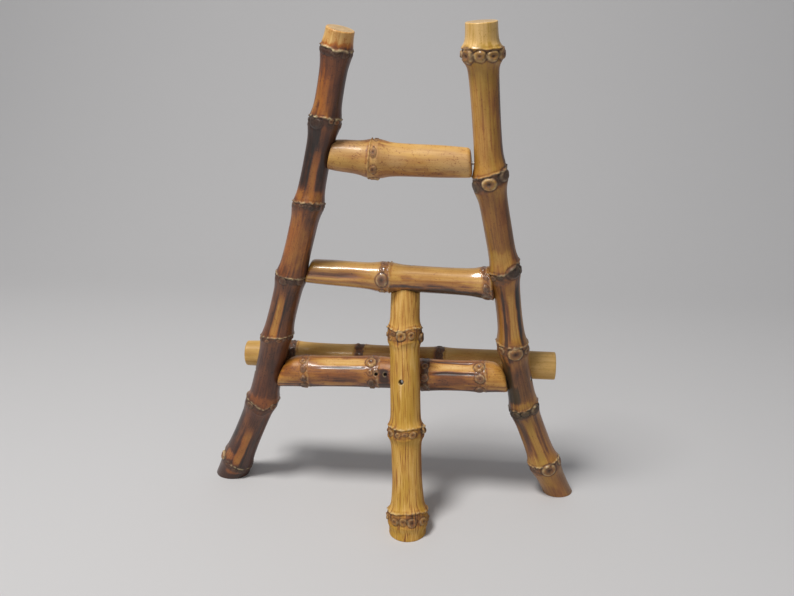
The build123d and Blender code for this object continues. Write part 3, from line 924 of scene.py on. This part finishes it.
def cane_material(slot):
    """Toasted, lacquered bamboo root: its colour follows the toast mark, broken up by fibres and blotches."""
    finish, make = FINISHES[slot], Nodes(slot)
    make.fibre = make.add("Attribute", {"attribute_name": "fibre"}).outputs["Vector"]
    fibres = make.grain(30, 1.6, 3)
    wide_fibres = make.grain(14, 0.8)
    streaks = make.span(make.grain(22, 1.15, 3), 0.53, 0.66)
    blotches = make.grain(2.2, 0.16, 4)
    specks = make.grain(1.4, 1.5, 3)
    veins = make.grain(1.2, 0.22, 5)
    veins = make.span(make.math("ABSOLUTE", make.math("SUBTRACT", veins, 0.5)), 0.0, 0.03, 1.0, 0.0)
    veins = make.times(veins, make.span(specks, 0.42, 0.62))
    tint_cloud = make.grain(3, 0.09)
    toast, scar, rim, pit, cut = (make.mark(name) for name in MARKS)

    for source, share in (
        (make.math("SUBTRACT", fibres, 0.5), finish.fibres),
        (make.math("SUBTRACT", wide_fibres, 0.5), finish.fibres),
        (make.math("SUBTRACT", blotches, 0.5), finish.blotches),
        (make.span(specks, 0.6, 0.72), finish.specks),
        (streaks, finish.streaks),
        (veins, finish.veins),
    ):
        toast = make.extra(source, share, toast)
    colour = make.ramp(toast, TOASTS)
    tinted = make.times(make.span(tint_cloud, 0.35, 0.65), finish.tinted)
    light = make.times(make.span(toast, 0.2, 0.75, 1.0, 0.15), tinted)
    light = make.times(make.span(toast, 0.0, 0.25), light)
    colour = make.blend(light, colour, finish.tint)
    scar_share = make.times(scar, make.span(specks, 0.35, 0.65, 0.1, 0.75))
    colour = make.blend(scar_share, colour, SCAR_GREY)
    colour = make.blend(make.times(rim, make.span(specks, 0.3, 0.6, 1.0, 0.55)), colour, CREAM)
    colour = make.blend(pit, colour, PITH_AND_HOLE_SHADE)

    ends = make.add("TexVoronoi", Vector=make.fibre, Scale=1.5).outputs["Distance"]
    bundles = make.times(make.span(ends, 0.18, 0.34, 1.0, 0.0), 0.75)
    face = make.blend(make.span(blotches, 0.3, 0.7), CUT_LIGHT, tuple(0.75 * part for part in CUT_LIGHT))
    colour = make.blend(cut, colour, make.blend(bundles, face, CUT_DARK))
    make.give(make.surface.inputs["Base Color"], colour)

    rough = make.extra(blotches, 0.16, finish.rough - 0.06)
    rough = make.extra(fibres, 0.1, rough)
    for mark, more in ((scar, 0.3), (rim, 0.3), (cut, 0.35), (pit, 0.35)):
        rough = make.extra(mark, more, rough)
    make.give(make.surface.inputs["Roughness"], make.math("MINIMUM", rough, 0.92))

    relief = make.extra(make.times(scar, specks), 1.6, fibres)
    relief = make.extra(wide_fibres, 0.8, relief)
    relief = make.extra(streaks, -3 * finish.streaks, relief)
    relief = make.extra(make.times(cut, bundles), -1.2, relief)
    bump = make.add("Bump", Height=relief, Strength=0.35, Distance=0.00022)
    make.give(make.surface.inputs["Normal"], bump.outputs[0])
    make.surface.inputs["Coat Weight"].default_value = finish.coat
    make.surface.inputs["Specular IOR Level"].default_value = 0.4
    make.surface.inputs["Coat Roughness"].default_value = 0.16
    return make.material


def nail_material(slot):
    """Bright steel with fine scratches and a little rust."""
    make = Nodes(slot)
    place_in = make.add("TexCoord").outputs["Object"]
    scratches = make.grain(1, 900, 3, place_in)
    rust = make.span(make.grain(1, 420, 3, place_in), 0.52, 0.68)
    steel = make.blend(scratches, (0.42, 0.41, 0.4), (0.66, 0.65, 0.63))
    make.give(make.surface.inputs["Base Color"], make.blend(rust, steel, (0.16, 0.075, 0.035)))
    make.give(make.surface.inputs["Metallic"], make.span(rust, 0.0, 1.0, 1.0, 0.25))
    make.give(make.surface.inputs["Roughness"], make.extra(scratches, 0.3, 0.25))
    bump = make.add("Bump", Height=scratches, Strength=0.3, Distance=0.0001)
    make.give(make.surface.inputs["Normal"], bump.outputs[0])
    return make.material


# ---- the easel

SLOTS = {part["node"]: part["material_slot"] for part in frame["record"]["subparts"]}
UP = np.array([0, 0, 1])
Hole = namedtuple("Hole", "spot radius depth")  # it is at least that deep, and reaches past its spot
HEAD_HOLE, LEG_HOLE, SPARE_HOLE = (1.5, 0.6), (1.3, 2.6), (0.85, 1.8)  # each hole's radius and depth
SPARE_SPOTS = [place(across, 88, 10.6) for across in (-12.1, -6.7)]


def nail_head(name):
    """The middle of a nail's head, from its mesh."""
    spots = np.array([tuple(vertex.co) for vertex in frame["nodes"][name].data.vertices]) / MM
    middle = (spots.min(axis=0) + spots.max(axis=0)) / 2
    axis = np.linalg.svd(spots - spots.mean(axis=0), full_matrices=False)[2][0]
    along = (spots - middle) @ axis
    tips = [spots[along < along.min() + 0.05], spots[along > along.max() - 0.05]]
    head = max(tips, key=lambda tip: np.ptp(tip, axis=0).max())
    return (head.min(axis=0) + head.max(axis=0)) / 2


def heads(*names):
    """Shallow holes for flush nail heads."""
    return [Hole(nail_head(name), *HEAD_HOLE) for name in names]


poles = {}
for side in ("left", "right"):
    holes = heads(*(f"nail_{level}_{side}" for level in ("top", "middle", "lower")))
    start = Spine(CANES[side + "_pole"].points).floor_place()
    poles[side] = Skin(side + "_pole", first=start, holes=holes)
    poles[side].cut_flat(start, UP)

skins = list(poles.values())
rungs = {}
for name in ("top_rung", "middle_rung", "lower_rung"):
    spine = Spine(CANES[name].points)
    first, left_way = seat(spine, 0, poles["left"])
    last, right_way = seat(spine, -1, poles["right"], -TOP_RIGHT_GAP if name == "top_rung" else SEAT_BITE)
    holes = {
        "top_rung": [],
        "middle_rung": heads("nail_leg_top"),
        "lower_rung": [Hole(spot, *SPARE_HOLE) for spot in SPARE_SPOTS],
    }[name]
    rungs[name] = Skin(name, first, last, holes)
    rungs[name].cope(first, poles["left"], left_way)
    rungs[name].cope(last, poles["right"], right_way)
skins += rungs.values()

ledge = Skin("front_ledge", holes=heads("nail_ledge_left", "nail_ledge_right"))
for pole in poles.values():
    ledge.notch(pole)
skins.append(ledge)

start = Spine(CANES["rear_leg"].points).floor_place()
leg = Skin("rear_leg", first=start, holes=[Hole(nail_head("nail_leg_lower"), *LEG_HOLE)])
leg.cut_flat(start, UP)
leg.notch(rungs["lower_rung"])
leg.cope(leg.last, rungs["middle_rung"], -leg.spine.along[-1])
skins.append(leg)

for skin in skins:
    make_mesh(skin).data.materials.append(cane_material(SLOTS[skin.name]))

steel = nail_material("nail_steel")
for name, node in frame["nodes"].items():
    if name.startswith("nail_"):
        for slot in node.material_slots:
            slot.material = steel
